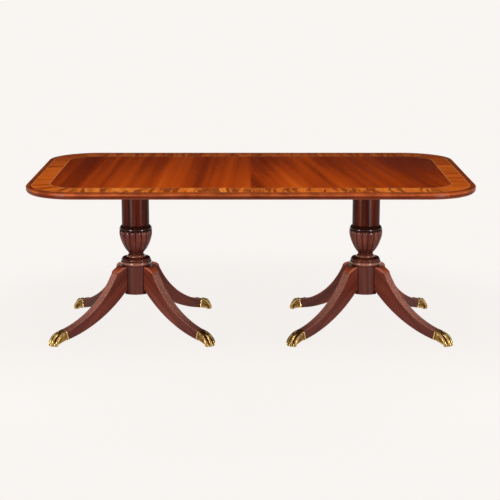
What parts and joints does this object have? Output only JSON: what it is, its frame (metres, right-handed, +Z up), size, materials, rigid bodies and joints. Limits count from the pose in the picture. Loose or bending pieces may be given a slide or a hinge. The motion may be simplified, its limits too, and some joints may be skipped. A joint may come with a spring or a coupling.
{
  "type": "double pedestal dining table",
  "caption": "Crossbanded mahogany dining table in two halves that slide apart, on turned fluted pedestals with reeded sabre legs in brass paw caps.",
  "frame": {"origin": "on the floor, below the middle of the closed top", "axes": "+Z up, X along the table with the left half at -X, front at -Y"},
  "size_m": [2, 1.2, 0.76],
  "materials": {
    "field_veneer": "gloss polish",
    "crossband_veneer": "gloss polish",
    "stringing": "gloss polish",
    "edge_mahogany": "gloss polish",
    "turned_mahogany": "gloss polish",
    "carcase_wood": "plain sanded",
    "brass": "aged polish",
    "steel": "bright",
    "iron": "black"
  },
  "bodies": {
    "left_half": {"left_top_core": "carcase_wood", "left_edge_moulding": "edge_mahogany", "left_field_veneer": "field_veneer", "left_crossband": "crossband_veneer", "left_stringing": "stringing", "left_bearers": "carcase_wood", "left_mounting_block": "carcase_wood", "left_top_screws": "steel", "left_column_shaft": "turned_mahogany", "left_fluted_urn": "turned_mahogany", "left_collar": "turned_mahogany", "left_hub": "turned_mahogany", "left_tie_rod": "steel", "left_rod_nuts": "steel", "left_base_plate": "iron", "left_base_screws": "steel", "left_front_rail": "carcase_wood", "left_rear_rail": "carcase_wood", "left_front_right_leg": "turned_mahogany", "left_front_right_paw": "brass", "left_rear_right_leg": "turned_mahogany", "left_rear_right_paw": "brass", "left_rear_left_leg": "turned_mahogany", "left_rear_left_paw": "brass", "left_front_left_leg": "turned_mahogany", "left_front_left_paw": "brass", "seam_pins": "brass", "latch_pivots": "brass"},
    "right_half": {"right_top_core": "carcase_wood", "right_edge_moulding": "edge_mahogany", "right_field_veneer": "field_veneer", "right_crossband": "crossband_veneer", "right_stringing": "stringing", "right_bearers": "carcase_wood", "right_mounting_block": "carcase_wood", "right_top_screws": "steel", "right_column_shaft": "turned_mahogany", "right_fluted_urn": "turned_mahogany", "right_collar": "turned_mahogany", "right_hub": "turned_mahogany", "right_tie_rod": "steel", "right_rod_nuts": "steel", "right_base_plate": "iron", "right_base_screws": "steel", "right_front_rail": "carcase_wood", "right_rear_rail": "carcase_wood", "right_front_right_leg": "turned_mahogany", "right_front_right_paw": "brass", "right_rear_right_leg": "turned_mahogany", "right_rear_right_paw": "brass", "right_rear_left_leg": "turned_mahogany", "right_rear_left_paw": "brass", "right_front_left_leg": "turned_mahogany", "right_front_left_paw": "brass", "seam_sockets": "brass", "latch_keepers": "brass"},
    "slide_middle": {"front_middle_rail": "carcase_wood", "rear_middle_rail": "carcase_wood"},
    "front_latch": {"front_latch_lever": "brass"},
    "rear_latch": {"rear_latch_lever": "brass"}
  },
  "joints": [
    {"name": "extend", "type": "slide", "parent": "left_half", "child": "right_half", "axis": [1, 0, 0], "range_m": [0, 0.5]},
    {"name": "middle_slide", "type": "slide", "parent": "left_half", "child": "slide_middle", "axis": [1, 0, 0], "range_m": [0, 0.25]},
    {"name": "front_latch_turn", "type": "hinge", "parent": "left_half", "child": "front_latch", "pos_m": [-0.03, -0.12, 0.726], "axis": [0, 0, 1], "range_deg": [-90, 0]},
    {"name": "rear_latch_turn", "type": "hinge", "parent": "left_half", "child": "rear_latch", "pos_m": [-0.03, 0.12, 0.726], "axis": [0, 0, 1], "range_deg": [0, 90]}
  ],
  "couplings": [
    {"joint": "middle_slide", "follows": "extend", "ratio": 0.5}
  ]
}
